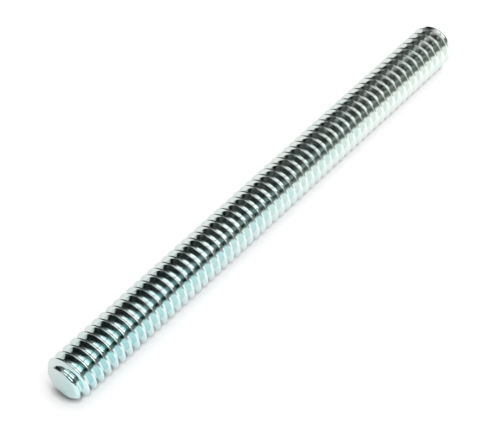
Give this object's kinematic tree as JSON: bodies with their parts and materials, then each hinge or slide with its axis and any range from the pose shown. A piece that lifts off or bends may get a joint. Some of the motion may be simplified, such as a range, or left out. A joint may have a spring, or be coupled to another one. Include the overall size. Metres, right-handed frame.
{
  "type": "air cleaner stud",
  "caption": "Straight steel stud that clamps an air cleaner housing to an engine intake, with a right-hand coarse thread from end to end and a chamfered flat face at each end.",
  "frame": {"origin": "centre of the lower end face, which the stud stands on", "axes": "+Z runs along the stud's axis from the lower end face to the upper one; +X points to where the thread groove's centre line crosses the height of the lower face"},
  "size_m": [0.0062, 0.0062, 0.0762],
  "materials": {
    "zinc_plate": "bright zinc plate on steel with a clear blue passivate, semi-gloss"
  },
  "bodies": {
    "root": {"stud": "zinc_plate"}
  },
  "joints": []
}
